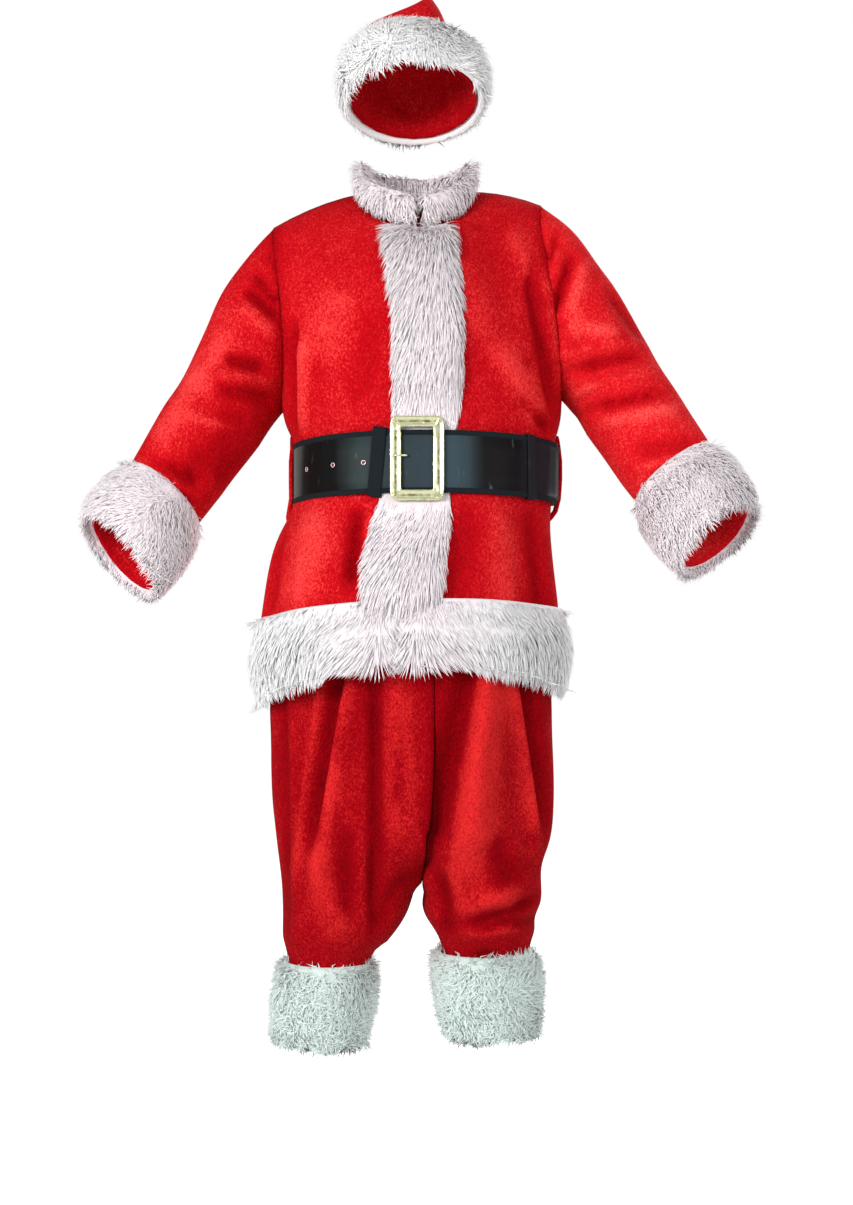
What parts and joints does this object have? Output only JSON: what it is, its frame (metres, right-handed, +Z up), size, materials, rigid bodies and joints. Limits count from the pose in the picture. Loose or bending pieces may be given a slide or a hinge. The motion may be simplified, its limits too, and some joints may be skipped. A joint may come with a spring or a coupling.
{
  "type": "santa suit",
  "caption": "Red plush santa suit with long white fur trim: belted jacket, cropped trousers with fur cuffs, and a soft tipped-over cap.",
  "frame": {"origin": "between the shoulders, at the level of the neckline's front", "axes": "+Z up along the standing figure, -Y towards the front, +X to the wearer's left"},
  "size_m": [0.9941, 0.437, 1.5849],
  "materials": {
    "red_plush": "short napped plush",
    "long_fur": "long combed faux fur",
    "black_leather": "scuffed satin, with fabric binding",
    "pale_gold": "worn satin plate",
    "eyelet_metal": "polished"
  },
  "bodies": {
    "root": {"belt_eyelet_1": "eyelet_metal", "belt_eyelet_2": "eyelet_metal", "belt_eyelet_3": "eyelet_metal", "belt_keeper_buckle": "black_leather", "belt_keeper_tip": "black_leather", "belt_loop_left": "red_plush", "belt_loop_right": "red_plush", "belt_strap": "black_leather", "buckle_frame": "pale_gold", "buckle_prong": "pale_gold", "collar_fur": "long_fur", "cuff_fur_left": "long_fur", "cuff_fur_right": "long_fur", "front_band_fur": "long_fur", "hat_brim_fur": "long_fur", "hat_crown": "red_plush", "hat_pompom": "long_fur", "hem_band_fur": "long_fur", "jacket_back": "red_plush", "jacket_front_left": "red_plush", "jacket_front_right": "red_plush", "leg_cuff_fur_left": "long_fur", "leg_cuff_fur_right": "long_fur", "sleeve_left": "red_plush", "sleeve_right": "red_plush", "trouser_back_left": "red_plush", "trouser_back_right": "red_plush", "trouser_front_left": "red_plush", "trouser_front_right": "red_plush", "trouser_waistband": "red_plush"}
  },
  "joints": []
}
